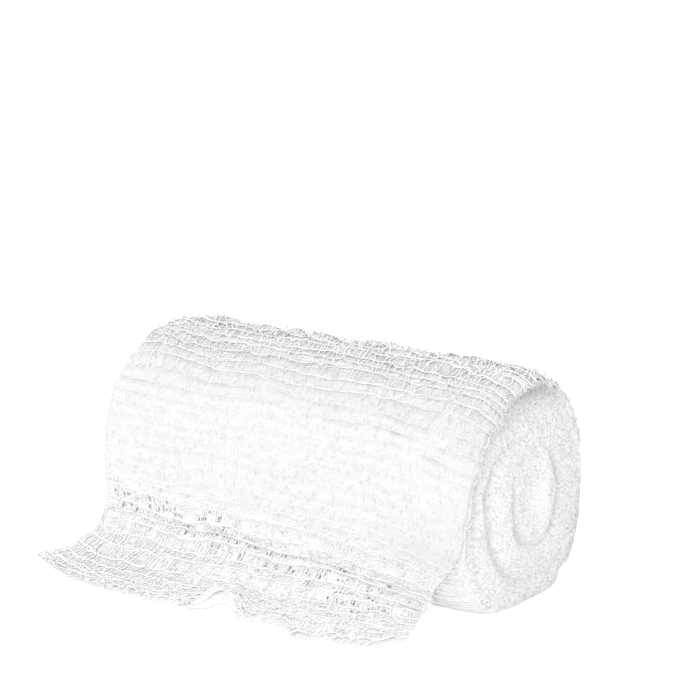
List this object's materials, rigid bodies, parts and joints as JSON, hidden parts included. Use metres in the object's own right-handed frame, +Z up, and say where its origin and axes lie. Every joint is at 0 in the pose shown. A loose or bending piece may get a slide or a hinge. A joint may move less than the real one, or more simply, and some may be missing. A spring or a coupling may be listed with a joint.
{
  "type": "gauze bandage roll",
  "caption": "Soft crinkled gauze bandage roll lying on its side, wound in a spiral, with its outer turn come loose and flared out over the surface in front.",
  "frame": {"origin": "on the surface it lies on, under the middle of the roll, in the roll's flat spot", "axes": "+X along the roll's axis, -Y towards the loose end, +Z up"},
  "size_m": [0.1216, 0.0852, 0.0596],
  "materials": {
    "gauze_winding": "matt white cotton gauze, edges of the wound turns",
    "gauze_strip": "matt white crinkled open-weave cotton gauze"
  },
  "bodies": {
    "root": {"wound_roll": "gauze_winding", "loose_end": "gauze_strip"}
  },
  "joints": []
}
